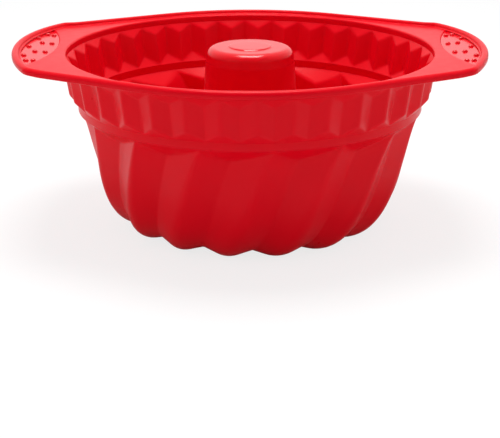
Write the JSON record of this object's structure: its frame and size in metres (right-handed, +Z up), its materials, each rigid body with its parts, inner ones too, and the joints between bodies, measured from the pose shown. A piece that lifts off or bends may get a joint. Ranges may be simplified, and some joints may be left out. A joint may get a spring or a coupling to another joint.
{
  "type": "bundt pan",
  "caption": "Red silicone ring-cake pan with a fluted band over a swirled bowl, a closed centre tube, and two tab handles with domed grip pads.",
  "frame": {"origin": "on the surface that the pan stands on, under the centre of its box, which is the tube's axis", "axes": "+Z up through the mouth, +X along the two handles, +Y across them"},
  "size_m": [0.282, 0.239, 0.1112],
  "materials": {
    "silicone_matt": "matt moulded silicone",
    "silicone_gloss": "polished moulded silicone",
    "spring_steel": "drawn wire"
  },
  "bodies": {
    "root": {"rim_flange": "silicone_matt", "rim_lip": "silicone_matt", "rim_wire": "spring_steel", "flute_band": "silicone_matt", "waist_ring": "silicone_matt", "swirl_wall": "silicone_matt", "trough_curve": "silicone_matt", "hub_slope": "silicone_matt", "centre_tube": "silicone_matt", "tube_cap": "silicone_gloss", "left_handle": "silicone_matt", "left_grip_pad": "silicone_gloss", "left_grip_pips": "silicone_gloss", "right_handle": "silicone_matt", "right_grip_pad": "silicone_gloss", "right_grip_pips": "silicone_gloss"}
  },
  "joints": []
}
